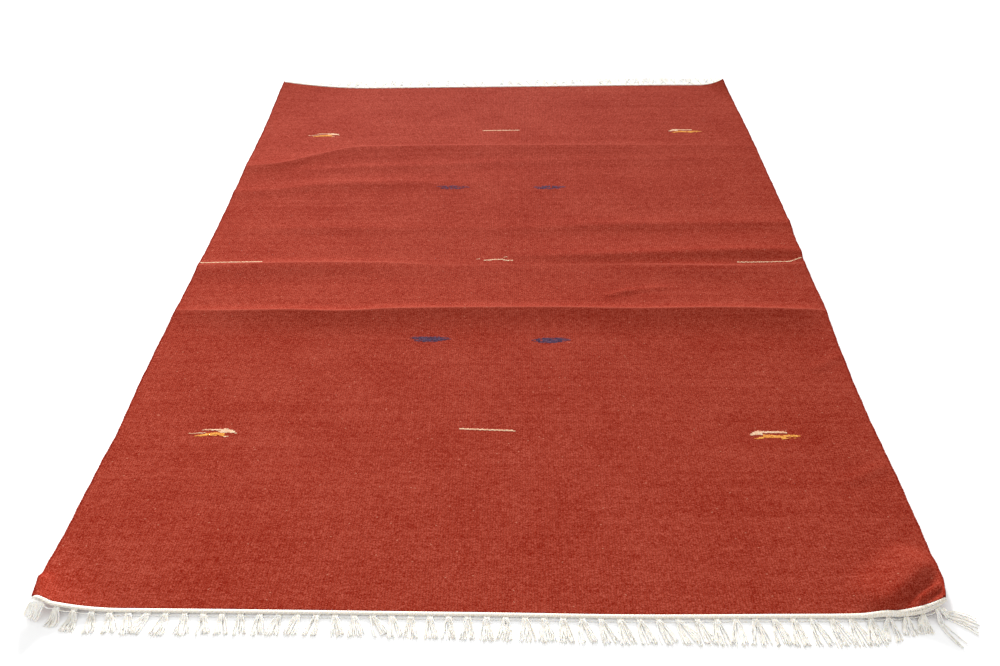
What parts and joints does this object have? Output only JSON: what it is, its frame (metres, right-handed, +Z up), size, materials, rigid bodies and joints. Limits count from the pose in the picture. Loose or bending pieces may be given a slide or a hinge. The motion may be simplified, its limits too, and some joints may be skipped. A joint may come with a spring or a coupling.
{
  "type": "kilim rug",
  "caption": "Flat-woven wool rug lying on a floor with storage creases and curled corners, small inlaid motifs, and a knotted cotton fringe at each end.",
  "frame": {"origin": "on the floor, under the middle of the whole rug's box, fringes included", "axes": "+Z up, +Y along the rug from the near end to the far end, +X across it"},
  "size_m": [1.4267, 2.1425, 0.03],
  "materials": {
    "wool_cloth": "heathered brick-red handspun wool, matt",
    "cotton_fringe": "undyed plied cotton, matt",
    "undyed_inlay": "undyed wool inlay, matt",
    "gold_inlay": "golden wool inlay, matt",
    "blue_inlay": "indigo wool inlay, matt"
  },
  "bodies": {
    "root": {"kilim_cloth": "wool_cloth", "near_fringe": "cotton_fringe", "far_fringe": "cotton_fringe"}
  },
  "joints": []
}
